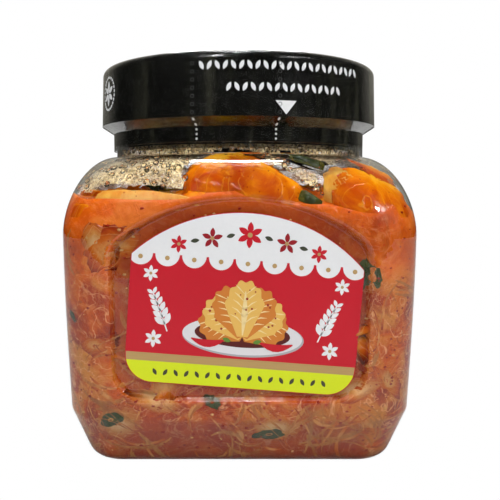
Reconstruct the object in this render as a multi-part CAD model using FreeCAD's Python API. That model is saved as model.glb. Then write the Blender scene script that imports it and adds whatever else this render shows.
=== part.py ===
"""Kimchi jar: a clear square jar with a wide round neck, filled with kimchi and shut with a black cap.

Millimetres, +Z up, origin at the middle of the base, front towards -Y.
Each flat side of the jar is drafted, the shoulder turns from square to round, and the front and
back have a sunk panel with an arched top that holds a label.
"""
import FreeCAD, Part
import math
import os

Vector = FreeCAD.Vector

# Jar body, outside sizes
BODY_WIDTH = 125.2
BULGE_Z = 80.4
CORNER_R = 19.0
WALL_DRAFT = 1.4
TAPER_TOP_Z = 18.5
TAPER_EDGE_R = 3.0
FOOT_SET_IN = 9.0
FOOT_CORNER_R = 12.0
FOOT_EDGE_R = 6.5
SHOULDER_RISE = 28.5
SHOULDER_POWER = 1.83
SHOULDER_SECTIONS = 12
WALL_SECTIONS = 4
WALL = 1.0
BASE_WALL = 1.4

# Neck
NECK_RING_R = 50.0
NECK_RING_HEIGHT = 4.1
NECK_RING_WALL = 1.6
FINISH_SET_IN = 2.5
FINISH_WALL = 1.5
NECK_HEIGHT = 28.5
NECK_ROOT_R = 0.4
SECTION_MARGIN = 0.5

# Sunk panel, front and back: outline where its slope starts, and the flat floor
PANEL_SIDE_LAND = 19.2
PANEL_FOOT_LAND = 6.3
PANEL_ABOVE_BULGE = 14.0
PANEL_ARCH_R = 64.2
PANEL_TOP_CORNER_R = 9.0
PANEL_BOTTOM_CORNER_R = 12.0
PANEL_FLOOR_INSET = 3.0
PANEL_SLOPE_RUN = 1.3
PANEL_SLOPE_DEPTH = 1.9
PANEL_EDGE_R = 0.8

# Labels: margins to the edge of the panel's flat floor
LABEL_SIDE_MARGIN = 2.9
LABEL_END_MARGIN = 3.4
LABEL_ARCH_R = 55.0
LABEL_TOP_CORNER_R = 3.0
LABEL_BOTTOM_CORNER_R = 9.5
LABEL_THICKNESS = 0.15
LABEL_SIDEWAYS = 1.6
LABEL_CENTRE_UP = -0.6
FRONT_LABEL_TILT = 4.3
BACK_LABEL_TILT = 0.0

# Cap: each radius is stepped from the neck ring it covers
CAP_COLLAR_STEP = 0.9
CAP_DRUM_STEP = 4.5
CAP_DRUM_DRAFT = 0.7
CAP_HEIGHT = 29.9
CAP_DRUM_HEIGHT = 21.9
CAP_COLLAR_HEIGHT = 5.1
CAP_WALL = 1.4
CAP_TOP_WALL = 2.0
CAP_EDGE_R = 2.6
CAP_DISH_MARGIN = 8.7
CAP_DISH_DEPTH = 0.8
CAP_GAP = 0.2

# Clear shrink band over the cap
BAND_THICKNESS = 0.12
BAND_GAP = 0.12
BAND_LAP = 4.7
BAND_SLANT = 1.2
BAND_CLEAR_Z = 1.5
BAND_EDGE_STEPS = 10
TEAR_HOLE_R = 0.45
TEAR_HOLE_PITCH = 2.7
TEAR_HOLE_COUNT = 7
TEAR_LINE_ANGLES = (-107.0, -76.0)

# Kimchi: its level below the neck, and the heaps and dips of its top, each as x, y, height, spread
KIMCHI_BELOW_NECK = 16.0
KIMCHI_HEAPS = (
    (-2.0, -46.0, 14.5, 14.0),
    (14.0, -47.0, 6.0, 10.0),
    (41.0, -40.0, 9.5, 10.0),
    (-22.0, 22.0, 4.5, 18.0),
    (26.0, 30.0, 4.0, 15.0),
    (-46.0, -38.0, 2.0, 12.0),
)
KIMCHI_GRID = 13

HALF = BODY_WIDTH / 2
SHOULDER_TOP_Z = BULGE_Z + SHOULDER_RISE
SHOULDER_TOP_HALF = NECK_RING_R + SECTION_MARGIN
NECK_RING_TOP_Z = SHOULDER_TOP_Z + NECK_RING_HEIGHT
NECK_TOP_Z = SHOULDER_TOP_Z + NECK_HEIGHT
FINISH_R = NECK_RING_R - FINISH_SET_IN
CAP_COLLAR_R = NECK_RING_R + CAP_COLLAR_STEP
CAP_DRUM_R = CAP_COLLAR_R + CAP_DRUM_STEP
CAP_TOP_R = CAP_DRUM_R - CAP_DRUM_DRAFT
CAP_DISH_R = CAP_TOP_R - CAP_DISH_MARGIN
CAP_BOTTOM_Z = NECK_RING_TOP_Z + CAP_GAP
CAP_TOP_Z = CAP_BOTTOM_Z + CAP_HEIGHT
CAP_RIM_Z = CAP_TOP_Z - CAP_DRUM_HEIGHT
PANEL_HALF_WIDTH = HALF - PANEL_SIDE_LAND
PANEL_BOTTOM_Z = TAPER_TOP_Z + PANEL_FOOT_LAND
PANEL_TOP_Z = BULGE_Z + PANEL_ABOVE_BULGE
PANEL_FLOOR = HALF - PANEL_FLOOR_INSET
LABEL_HALF_WIDTH = PANEL_HALF_WIDTH - PANEL_SLOPE_RUN - LABEL_SIDE_MARGIN
LABEL_HEIGHT = PANEL_TOP_Z - PANEL_BOTTOM_Z - 2 * (PANEL_SLOPE_RUN + LABEL_END_MARGIN)
LABEL_MIDDLE_Z = (PANEL_BOTTOM_Z + PANEL_TOP_Z) / 2 + LABEL_CENTRE_UP
KIMCHI_LEVEL = SHOULDER_TOP_Z - KIMCHI_BELOW_NECK
REACH = 4 * BODY_WIDTH


def rounded_square(half, radius, z):
    """Closed wire of four sides and four corner arcs, at height z."""
    flat = half - radius
    lean = radius * math.sqrt(0.5)
    edges = []
    for turn in range(4):
        spin = FreeCAD.Rotation(Vector(0, 0, 1), 90 * turn)
        start, end = Vector(half, -flat, z), Vector(half, flat, z)
        middle, far = Vector(flat + lean, flat + lean, z), Vector(flat, half, z)
        start, end, middle, far = [spin.multVec(p) for p in (start, end, middle, far)]
        edges.append(Part.LineSegment(start, end).toShape())
        edges.append(Part.Arc(end, middle, far).toShape())
    return Part.Wire(edges)


def shoulder_section(share, inset):
    """Half width, corner radius and height of the shoulder, share 0 at the bulge and 1 at the neck."""
    angle = share * math.pi / 2
    out = math.cos(angle) ** (2 / SHOULDER_POWER)
    up = math.sin(angle) ** (2 / SHOULDER_POWER)
    half = SHOULDER_TOP_HALF + (HALF - SHOULDER_TOP_HALF) * out
    top_radius = SHOULDER_TOP_HALF - 2 * SECTION_MARGIN
    radius = CORNER_R + (top_radius - CORNER_R) * (1 - out)
    return half - inset, radius - inset, BULGE_Z + (SHOULDER_RISE - inset) * up


def body_solid(inset, base_inset):
    """The jar's body as a solid, moved inwards by inset, with its base raised by base_inset."""
    taper_half = HALF - WALL_DRAFT
    walls = []
    for step in range(WALL_SECTIONS + 1):
        share = step / WALL_SECTIONS
        half = taper_half + (HALF - taper_half) * math.sin(share * math.pi / 2)
        z = TAPER_TOP_Z + (BULGE_Z - TAPER_TOP_Z) * share
        walls.append(rounded_square(half - inset, CORNER_R - inset, z))
    shoulders = [
        rounded_square(*shoulder_section(step / SHOULDER_SECTIONS, inset))
        for step in range(SHOULDER_SECTIONS + 1)
    ]
    foot = rounded_square(HALF - FOOT_SET_IN - inset, FOOT_CORNER_R - inset, base_inset)
    taper = Part.makeLoft([foot, walls[0]], True, True)
    body = taper.fuse([Part.makeLoft(walls, True, False), Part.makeLoft(shoulders, True, False)])
    body = body.makeFillet(FOOT_EDGE_R - inset, edges_at(body, base_inset))
    return body.makeFillet(TAPER_EDGE_R, edges_at(body, TAPER_TOP_Z))


def edges_at(shape, z):
    return [e for e in shape.Edges if all(abs(v.Z - z) < 1e-6 for v in e.Vertexes)]


def arch_outline(half, bottom, top, arch_r, top_r, bottom_r, y):
    """Closed wire in the plane at y: flat bottom, straight sides and an arched top."""
    centre = Vector(0, y, top - arch_r)
    reach = arch_r - top_r
    corner = Vector(half - top_r, y, centre.z + math.sqrt(reach ** 2 - (half - top_r) ** 2))
    along = (corner - centre).normalize()
    joint = centre + along * arch_r
    bow = (Vector(1, 0, 0) + along).normalize()
    corner_middle = corner + bow * top_r
    turn = bottom_r * (1 - math.sqrt(0.5))

    def mirrored(point):
        return Vector(-point.x, point.y, point.z)

    side_top = Vector(half, y, corner.z)
    side_bottom = Vector(half, y, bottom + bottom_r)
    base_end = Vector(half - bottom_r, y, bottom)
    base_bow = Vector(half - turn, y, bottom + turn)
    edges = [
        Part.LineSegment(mirrored(base_end), base_end),
        Part.Arc(base_end, base_bow, side_bottom),
        Part.LineSegment(side_bottom, side_top),
        Part.Arc(side_top, corner_middle, joint),
        Part.Arc(joint, Vector(0, y, top), mirrored(joint)),
        Part.Arc(mirrored(joint), mirrored(corner_middle), mirrored(side_top)),
        Part.LineSegment(mirrored(side_top), mirrored(side_bottom)),
        Part.Arc(mirrored(side_bottom), mirrored(base_bow), mirrored(base_end)),
    ]
    return Part.Wire([edge.toShape() for edge in edges])


def panel_outline(growth, y):
    return arch_outline(
        PANEL_HALF_WIDTH + growth,
        PANEL_BOTTOM_Z - growth,
        PANEL_TOP_Z + growth,
        PANEL_ARCH_R + growth,
        PANEL_TOP_CORNER_R + growth,
        PANEL_BOTTOM_CORNER_R + growth,
        y,
    )


def panel_cutter(inset):
    """What the sunk panel takes out of the front of a body that is moved inwards by inset."""
    slope = PANEL_SLOPE_RUN / PANEL_SLOPE_DEPTH
    corner_shift = inset * (math.sqrt(1 + slope ** 2) - slope)
    floor_growth = corner_shift - PANEL_SLOPE_RUN
    depth = PANEL_FLOOR_INSET + 1
    floor = panel_outline(floor_growth, inset - PANEL_FLOOR)
    mouth = panel_outline(floor_growth + slope * depth, inset - PANEL_FLOOR - depth)
    return Part.makeLoft([floor, mouth], True, True)


def half_turn(shape):
    turned = shape.copy()
    turned.rotate(Vector(0, 0, 0), Vector(0, 0, 1), 180)
    return turned


def panel_edges(body, floor):
    """The edges round the flat floor and round the mouth of the panel in front."""
    found = []
    for edge in body.Edges:
        box = edge.BoundBox
        across = max(abs(box.XMin), abs(box.XMax)) < PANEL_HALF_WIDTH + 3
        upright = box.ZMin > PANEL_BOTTOM_Z - 3 and box.ZMax < PANEL_TOP_Z + 3
        on_floor = abs(box.YMax + floor) < 0.01
        flat = box.YMax - box.YMin < 0.01
        seam = box.ZMax - box.ZMin < 1e-3 and abs(box.ZMax - BULGE_Z) < 1e-3
        if across and upright and box.YMax < 0.01 - floor and (flat or not on_floor) and not seam:
            found.append(edge)
    return found


def panelled_body(inset, base_inset):
    """The body with both sunk panels, their edges rounded."""
    body = body_solid(inset, base_inset)
    for _ in range(2):
        body = body.cut(panel_cutter(inset))
        body = body.makeFillet(PANEL_EDGE_R, panel_edges(body, PANEL_FLOOR - inset))
        body = half_turn(body)
    return body


def cylinder(radius, bottom, top):
    return Part.makeCylinder(radius, top - bottom, Vector(0, 0, bottom))


def ring(inner, outer, bottom, top):
    return cylinder(outer, bottom, top).cut(cylinder(inner, bottom, top))


def cavity():
    """The space inside the jar, from its floor to its mouth."""
    space = panelled_body(WALL, BASE_WALL)
    ring_space = cylinder(NECK_RING_R - NECK_RING_WALL, BULGE_Z, NECK_RING_TOP_Z - NECK_RING_WALL)
    throat = cylinder(FINISH_R - FINISH_WALL, BULGE_Z, NECK_TOP_Z + 1)
    return space.fuse([ring_space, throat]).removeSplitter()


def make_jar(space):
    body = panelled_body(0, 0)
    neck_ring = cylinder(NECK_RING_R, BULGE_Z, NECK_RING_TOP_Z)
    finish = cylinder(FINISH_R, BULGE_Z, NECK_TOP_Z)
    outer = body.fuse([neck_ring, finish]).removeSplitter()
    root = [e for e in outer.Edges if is_circle(e, NECK_RING_R, SHOULDER_TOP_Z)]
    outer = outer.makeFillet(NECK_ROOT_R, root)
    return outer.cut(space)


def is_circle(edge, radius, z):
    round_edge = isinstance(edge.Curve, Part.Circle) and abs(edge.Curve.Radius - radius) < 1e-6
    return round_edge and abs(edge.Curve.Center.z - z) < 1e-6


def make_label(tilt):
    """A flat label on the front panel's floor, turned clockwise by tilt degrees."""
    y = -PANEL_FLOOR
    outline = arch_outline(
        LABEL_HALF_WIDTH,
        -LABEL_HEIGHT / 2,
        LABEL_HEIGHT / 2,
        LABEL_ARCH_R,
        LABEL_TOP_CORNER_R,
        LABEL_BOTTOM_CORNER_R,
        0,
    )
    label = Part.Face(outline).extrude(Vector(0, -LABEL_THICKNESS, 0))
    label.rotate(Vector(0, 0, 0), Vector(0, 1, 0), tilt)
    label.translate(Vector(LABEL_SIDEWAYS if tilt else 0, y, LABEL_MIDDLE_Z))
    return label


def revolved(points):
    """A solid of revolution about Z from a closed list of (radius, height) points."""
    profile = Part.makePolygon([Vector(r, 0, z) for r, z in points + points[:1]])
    return Part.Face(profile).revolve(Vector(0, 0, 0), Vector(0, 0, 1), 360)


def cap_outside():
    """(radius, height) from the collar's foot up to the outer top edge."""
    return [
        (CAP_COLLAR_R, CAP_BOTTOM_Z),
        (CAP_COLLAR_R, CAP_BOTTOM_Z + CAP_COLLAR_HEIGHT),
        (CAP_DRUM_R, CAP_RIM_Z),
        (CAP_TOP_R, CAP_TOP_Z),
    ]


def make_cap():
    collar_in = CAP_COLLAR_R - CAP_WALL
    ceiling = CAP_TOP_Z - CAP_TOP_WALL
    outside = cap_outside()
    inside = [
        (0, ceiling),
        (FINISH_R - 2 * FINISH_WALL, ceiling),
        (FINISH_R - 2 * FINISH_WALL, NECK_TOP_Z),
        (FINISH_R + FINISH_WALL, NECK_TOP_Z),
        (FINISH_R + FINISH_WALL, ceiling),
        (CAP_TOP_R - CAP_WALL, ceiling),
        (CAP_DRUM_R - CAP_WALL, CAP_RIM_Z + CAP_WALL / 2),
        (collar_in, CAP_BOTTOM_Z + CAP_COLLAR_HEIGHT + CAP_WALL / 2),
        (collar_in, CAP_BOTTOM_Z),
    ]
    dish = [
        (CAP_DISH_R, CAP_TOP_Z),
        (CAP_DISH_R - CAP_DISH_DEPTH, CAP_TOP_Z - CAP_DISH_DEPTH),
        (0, CAP_TOP_Z - CAP_DISH_DEPTH),
    ]
    cap = revolved(outside + dish + inside)
    edge = [e for e in cap.Edges if is_circle(e, CAP_TOP_R, CAP_TOP_Z)]
    return cap.makeFillet(CAP_EDGE_R, edge)


def band_profile(gap):
    """The cap's outside moved outwards by gap, from round the neck ring to the flat top."""
    collar = CAP_COLLAR_R + gap
    points = [
        (collar, SHOULDER_TOP_Z + BAND_GAP),
        (collar, CAP_BOTTOM_Z + CAP_COLLAR_HEIGHT),
        (CAP_DRUM_R + gap, CAP_RIM_Z),
    ]
    lean = math.atan2(CAP_DRUM_DRAFT, CAP_DRUM_HEIGHT)
    centre = CAP_TOP_R + CAP_EDGE_R * (math.tan(lean) - 1 / math.cos(lean))
    radius = CAP_EDGE_R + gap
    for step in range(BAND_EDGE_STEPS + 1):
        angle = math.pi / 2 * step / BAND_EDGE_STEPS
        across = centre + radius * math.cos(angle)
        points.append((across, CAP_TOP_Z - CAP_EDGE_R + radius * math.sin(angle)))
    return points + [(CAP_TOP_R - BAND_LAP, CAP_TOP_Z + gap)]


def make_band():
    """The clear band: it laps over the cap's top edge and ends, slightly askew, round the neck ring."""
    inner = band_profile(BAND_GAP)
    outer = band_profile(BAND_GAP + BAND_THICKNESS)
    band = revolved(inner + outer[::-1])
    waste = Part.makeBox(REACH, REACH, REACH, Vector(-REACH / 2, -REACH / 2, -REACH))
    waste.rotate(Vector(0, 0, 0), Vector(0, 1, 0), BAND_SLANT)
    waste.translate(Vector(0, 0, SHOULDER_TOP_Z + BAND_CLEAR_Z))
    band = band.cut(waste)
    holes = []
    for angle in TEAR_LINE_ANGLES:
        for step in range(TEAR_HOLE_COUNT):
            z = CAP_RIM_Z + TEAR_HOLE_PITCH * (step + 0.5)
            hole = Part.makeCylinder(TEAR_HOLE_R, CAP_DRUM_R, Vector(CAP_COLLAR_R, 0, z), Vector(1, 0, 0))
            hole.rotate(Vector(0, 0, 0), Vector(0, 0, 1), angle)
            holes.append(hole)
    return band.cut(holes)


def kimchi_height(x, y):
    height = KIMCHI_LEVEL
    for heap_x, heap_y, rise, spread in KIMCHI_HEAPS:
        away = ((x - heap_x) ** 2 + (y - heap_y) ** 2) / spread ** 2
        height += rise * math.exp(-away)
    return height


def make_kimchi(space):
    """The kimchi fills the jar up to its uneven top."""
    side = BODY_WIDTH + 2
    steps = [side * (i / (KIMCHI_GRID - 1) - 0.5) for i in range(KIMCHI_GRID)]
    grid = [[Vector(x, y, kimchi_height(x, y)) for y in steps] for x in steps]
    top = Part.BSplineSurface()
    top.interpolate(grid)
    above = top.toShape().extrude(Vector(0, 0, REACH))
    return space.cut(above)


def export(node, shape):
    solids = shape.Solids
    whole = solids[0] if len(solids) == 1 else Part.makeCompound(solids)
    whole.exportStep(os.path.join("parts", node + ".step"))
    print(node, len(solids), shape.isValid(), round(shape.Volume / 1000, 2), "cm3", shape.BoundBox)


def main():
    os.makedirs("parts", exist_ok=True)
    space = cavity()
    export("jar", make_jar(space))
    export("cap", make_cap())
    export("shrink_band", make_band())
    export("label_front", make_label(FRONT_LABEL_TILT))
    export("label_back", half_turn(make_label(BACK_LABEL_TILT)))
    export("kimchi", make_kimchi(space))


main()
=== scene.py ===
import math
import random

import bmesh
import bpy
from mathutils import Matrix, Vector
from mathutils.bvhtree import BVHTree


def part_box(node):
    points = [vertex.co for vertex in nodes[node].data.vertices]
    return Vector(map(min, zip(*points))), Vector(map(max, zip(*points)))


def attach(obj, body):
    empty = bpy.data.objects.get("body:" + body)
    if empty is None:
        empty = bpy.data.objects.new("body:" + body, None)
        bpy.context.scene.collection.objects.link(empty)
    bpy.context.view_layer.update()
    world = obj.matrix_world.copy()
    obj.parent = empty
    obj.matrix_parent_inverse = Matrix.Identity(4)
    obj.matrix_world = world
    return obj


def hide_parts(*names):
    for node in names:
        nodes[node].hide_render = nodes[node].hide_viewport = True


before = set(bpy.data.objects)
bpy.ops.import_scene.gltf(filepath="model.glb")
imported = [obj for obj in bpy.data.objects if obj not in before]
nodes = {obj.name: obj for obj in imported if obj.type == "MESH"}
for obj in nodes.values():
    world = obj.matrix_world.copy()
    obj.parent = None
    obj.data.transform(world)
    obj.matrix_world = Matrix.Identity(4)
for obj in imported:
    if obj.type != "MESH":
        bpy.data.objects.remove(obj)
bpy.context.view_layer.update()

MM = 0.001

# ---- where things are
_, jar_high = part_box("jar")
cap_low, cap_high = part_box("cap")
label_low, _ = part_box("label_front")
back_low, back_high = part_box("label_back")
HALF = jar_high.x
CAP_R = cap_high.x
CAP_TOP = cap_high.z
CAP_FOOT = cap_low.z
NECK_R = 0.050
RIM_Z = CAP_TOP - 0.0219
CAP_TOP_R = CAP_R - 0.7 * MM
LABEL_FACE = label_low.y
LABEL_MID = Vector((1.6 * MM, 0, (back_low.z + back_high.z) / 2))
LABEL_TILT = math.radians(4.3)
LOWEST = 3 * MM  # no piece of food starts lower than this
PRESS = 0.35  # millimetres that the body of the kimchi reaches into the wall
SUNK = 0.3 * MM  # how far the edge of a piece of food is sunk
HEAP_TOP = Vector((0, 0, 92 * MM))  # in the middle, just over the kimchi
BEYOND = 60.0  # label millimetres, further out than the label's edge
PRINT_LAYER = 6e-6
ROSETTE = -63.0  # degrees round the band

CAMERA_PLACE = (-3.56 * MM, -275.88 * MM, 98.4 * MM)
CAMERA_PITCH = 0.1007
CAMERA_LENS = 46.85
CAMERA_SENSOR = 36.0
CAMERA_SHIFT = 0.0408


# ---- small helpers
def mesh_object(name, verts, faces, smooth=True):
    mesh = bpy.data.meshes.new(name)
    mesh.from_pydata([tuple(v) for v in verts], [], faces)
    mesh.validate()
    mesh.update()
    made = bpy.data.objects.new(name, mesh)
    bpy.context.scene.collection.objects.link(made)
    if smooth:
        mesh.polygons.foreach_set("use_smooth", [True] * len(mesh.polygons))
    return made


def cos_sin(degrees):
    turn = math.radians(degrees)
    return math.cos(turn), math.sin(turn)


def close_prism(faces, base, size):
    """Ends and sides of a prism: its lower ring of corners starts at base, and its upper ring follows."""
    faces.append(tuple(range(base + size, base + 2 * size)))
    faces.append(tuple(range(base + size - 1, base - 1, -1)))
    for place in range(size):
        after = (place + 1) % size
        faces.append((base + place, base + after, base + size + after, base + size + place))


def finish_piece(piece, material, replaces=()):
    piece.data.materials.clear()
    piece.data.materials.append(material)
    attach(piece, "root")
    if replaces:
        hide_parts(*replaces)
    return piece


def tree_of(node):
    bm = bmesh.new()
    bm.from_mesh(nodes[node].data)
    bmesh.ops.remove_doubles(bm, verts=bm.verts, dist=1e-6)
    tree = BVHTree.FromBMesh(bm)
    bm.free()
    return tree


class Graph:
    """A short way to write the nodes of a material, or of the world."""

    def __init__(self, name, world=None):
        self.material = world or bpy.data.materials.new(name)
        self.material.use_nodes = True
        self.tree = self.material.node_tree
        self.tree.nodes.clear()
        self.out = self.node("OutputWorld" if world else "OutputMaterial")
        self.coord = self.node("TexCoord").outputs["Generated" if world else "Object"]

    def node(self, kind, settings=None, **inputs):
        """A node, its inputs fed by name, or by number as i0, i1 and so on."""
        made = self.tree.nodes.new("ShaderNode" + kind)
        for key, value in (settings or {}).items():
            setattr(made, key, value)
        for key, value in inputs.items():
            numbered = key[0] == "i" and key[1:].isdigit()
            self.feed(made.inputs[int(key[1:]) if numbered else key.replace("_", " ")], value)
        return made

    def feed(self, socket, value):
        if isinstance(value, bpy.types.NodeSocket):
            self.tree.links.new(value, socket)
        elif isinstance(value, tuple) and len(value) == 3 and socket.type == "RGBA":
            socket.default_value = (*value, 1.0)
        else:
            socket.default_value = value

    def math(self, operation, a, b=0.0):
        return self.node("Math", {"operation": operation}, i0=a, i1=b).outputs[0]

    def plus(self, a, b):
        return self.math("ADD", a, b)

    def times(self, a, b):
        return self.math("MULTIPLY", a, b)

    def noise(self, scale, detail=3.0, roughness=0.5, distortion=0.0, vector=None):
        where = vector or self.coord
        settings = {"Scale": scale, "Detail": detail, "Roughness": roughness, "Distortion": distortion}
        return self.node("TexNoise", Vector=where, **settings).outputs["Fac"]

    def stretch(self, x, y, z):
        return self.node("Mapping", Scale=(x, y, z), Vector=self.coord).outputs[0]

    def warp(self, scale, amount):
        """Coordinates pushed about by noise, by amount metres."""
        noise = self.node("TexNoise", Scale=scale, Detail=2.0, Vector=self.coord).outputs["Color"]
        centred = self.node("VectorMath", {"operation": "SUBTRACT"}, i0=noise, i1=(0.5, 0.5, 0.5)).outputs[0]
        grown = self.node("VectorMath", {"operation": "SCALE"}, i0=centred, Scale=amount).outputs[0]
        return self.node("VectorMath", {"operation": "ADD"}, i0=self.coord, i1=grown).outputs[0]

    def cells(self, scale, vector=None):
        return self.node("TexVoronoi", Scale=scale, Vector=vector or self.coord).outputs["Distance"]

    def span(self, value, low, high, to_low=0.0, to_high=1.0):
        """How far the value is from low to high, eased, as a number from to_low to to_high."""
        eased = {"interpolation_type": "SMOOTHSTEP"}
        return self.node("MapRange", eased, i0=value, i1=low, i2=high, i3=to_low, i4=to_high).outputs[0]

    def ramp(self, value, stops):
        made = self.node("ValToRGB", i0=value)
        marks = made.color_ramp.elements
        while len(marks) < len(stops):
            marks.new(0.5)
        for mark, (at, colour) in zip(marks, stops):
            mark.position = at
            mark.color = (*colour, 1.0)
        return made.outputs[0]

    def mix(self, share, a, b):
        return self.node("Mix", {"data_type": "RGBA"}, i0=share, i6=a, i7=b).outputs[2]

    def axis(self, name):
        return self.node("SeparateXYZ", i0=self.coord).outputs[name]

    def bump(self, height, strength, distance):
        return self.node("Bump", Strength=strength, Distance=distance, Height=height).outputs[0]

    def principled(self, **inputs):
        return self.node("BsdfPrincipled", **inputs).outputs[0]

    def either(self, share, one, two):
        return self.node("MixShader", i0=share, i1=one, i2=two).outputs[0]

    def close(self, shader):
        self.feed(self.out.inputs[0], shader)
        return self.material

    def clear(self, tint, rough, ior, **more):
        """Something clear: lamps shine straight through it, and everything else sees it."""
        lamp = self.node("LightPath").outputs["Is Shadow Ray"]
        shader = self.principled(Base_Color=tint, Roughness=rough, IOR=ior, Transmission_Weight=1.0, **more)
        return self.close(self.either(lamp, shader, self.node("BsdfTransparent").outputs[0]))

    def food(self, colour, rough, ior, soft, radius, normal):
        """Food, which lets some light in under its face."""
        light = {"Subsurface_Weight": soft, "Subsurface_Radius": radius, "Subsurface_Scale": 1.0}
        return self.close(self.principled(Base_Color=colour, Roughness=rough, IOR=ior, Normal=normal, **light))


def label_point(u, v, lift):
    """A point u across and v up on the front label, which is applied with a slight tilt."""
    c, s = math.cos(LABEL_TILT), math.sin(LABEL_TILT)
    return Vector((LABEL_MID.x + u * c + v * s, LABEL_FACE - lift, LABEL_MID.z - u * s + v * c))


# ---- plain studio
def build_studio():
    scene = bpy.context.scene
    scene.view_settings.view_transform = "Standard"
    graph = Graph("floor_pale")
    grain = graph.noise(60.0, 4.0)
    colour = graph.ramp(grain, [(0.0, (0.86, 0.86, 0.86)), (1.0, (0.9, 0.9, 0.9))])
    matt = graph.principled(Base_Color=colour, Roughness=0.6)
    seen = graph.node("LightPath").outputs["Is Camera Ray"]
    glow = graph.node("Emission", Color=(1.0, 1.0, 1.0), Strength=1.0).outputs[0]
    material = graph.close(graph.either(seen, matt, glow))
    floor = mesh_object(
        "floor",
        [(-1.3, -0.52, 0), (1.3, -0.52, 0), (1.3, 1.6, 0), (-1.3, 1.6, 0)],
        [(0, 1, 2, 3)],
        False,
    )
    floor.data.materials.append(material)

    world = bpy.data.worlds.new("room")
    scene.world = world
    room = Graph("room", world)
    patches = room.noise(3.0, vector=room.stretch(3.0, 3.0, 0.5))
    tone = room.ramp(patches, [(0.56, (0.004, 0.004, 0.003)), (0.72, (0.20, 0.20, 0.13))])
    # reflections see a dark room, brighter high up behind the jar, so the slanting shoulder stays light
    behind = room.node("MapRange", i0=room.axis("Y"), i1=0.45, i2=0.95).outputs[0]
    above = room.node("MapRange", i0=room.axis("Z"), i1=0.0, i2=0.25).outputs[0]
    tone = room.mix(room.times(behind, above), tone, (0.42, 0.40, 0.34))

    def light(colour, strength):
        return room.node("Background", Color=colour, Strength=strength).outputs[0]

    path = room.node("LightPath").outputs
    straight = room.math("LESS_THAN", room.plus(path["Glossy Depth"], path["Diffuse Depth"]), 0.5)
    see = room.math("MAXIMUM", path["Is Camera Ray"], room.times(path["Is Transmission Ray"], straight))
    mirrored = room.math("GREATER_THAN", path["Glossy Depth"], 0.5)
    around = room.either(mirrored, light((0.9, 0.93, 1.0), 0.42), light(tone, 1.0))
    room.close(room.either(see, around, light((1.0, 1.0, 1.0), 1.0)))

    def lamp(name, place, target, size, watts):
        data = bpy.data.lights.new(name, "AREA")
        data.shape = "DISK"
        data.size = size
        data.energy = watts
        made = bpy.data.objects.new(name, data)
        made.location = place
        made.rotation_euler = (Vector(target) - Vector(place)).to_track_quat("-Z", "Y").to_euler()
        scene.collection.objects.link(made)
        return made

    lamp("lamp_over", (0.0, -0.15, 1.3), (0, 0, 0.05), 0.24, 6.5)
    lamp("lamp_front", (-0.45, -1.3, 0.95), (0, 0, 0.06), 0.35, 6.7).visible_glossy = False
    lamp("lamp_side", (0.9, -0.9, 0.8), (0, 0, 0.06), 0.12, 4.0)
    lamp("lamp_back", (0.0, 1.2, 0.9), (0, 0, 0.09), 0.5, 4.5)

    data = bpy.data.cameras.new("camera")
    data.lens = CAMERA_LENS
    data.sensor_width = CAMERA_SENSOR
    data.clip_start = 0.01
    data.shift_x = CAMERA_SHIFT
    camera = bpy.data.objects.new("camera", data)
    camera.location = CAMERA_PLACE
    aim = Vector((0, math.cos(CAMERA_PITCH), -math.sin(CAMERA_PITCH)))
    camera.rotation_euler = aim.to_track_quat("-Z", "Y").to_euler()
    scene.collection.objects.link(camera)
    scene.camera = camera


# ---- clear plastic and cap
def clear_plastic():
    graph = Graph("clear_jar")
    ripple = graph.noise(45.0, 3.0, 0.55, 0.3)
    smear = graph.noise(180.0, 4.0, 0.6)
    rough = graph.span(smear, 0.35, 0.75, 0.01, 0.032)
    return graph.clear((1.0, 1.0, 1.0), rough, 1.53, Normal=graph.bump(ripple, 0.12, 0.4 * MM))


def film_material():
    graph = Graph("clear_film")
    creases = graph.noise(70.0, 4.0, 0.6, 0.4, graph.stretch(1.0, 1.0, 0.35))
    fine = graph.noise(420.0, 3.0, 0.6)
    height = graph.plus(creases, graph.times(fine, 0.25))
    rough = graph.span(fine, 0.3, 0.8, 0.02, 0.12)
    return graph.clear((1.0, 1.0, 1.0), rough, 1.5, Normal=graph.bump(height, 0.35, 0.5 * MM))


def cap_material():
    graph = Graph("black_cap")
    mottle = graph.noise(55.0, 4.0, 0.6)
    dust = graph.cells(900.0)
    base = graph.ramp(mottle, [(0.3, (0.0015, 0.0015, 0.0012)), (0.75, (0.006, 0.006, 0.005))])
    colour = graph.mix(graph.span(dust, 0.1, 0.05, 0.0, 0.35), base, (0.09, 0.09, 0.08))
    rough = graph.span(graph.noise(160.0, 5.0, 0.65), 0.3, 0.8, 0.1, 0.3)
    grain = graph.noise(1500.0, 2.0)
    shader = graph.principled(
        Base_Color=colour, Roughness=rough, IOR=1.5, Normal=graph.bump(grain, 0.08, 0.05 * MM)
    )
    return graph.close(shader)


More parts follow.
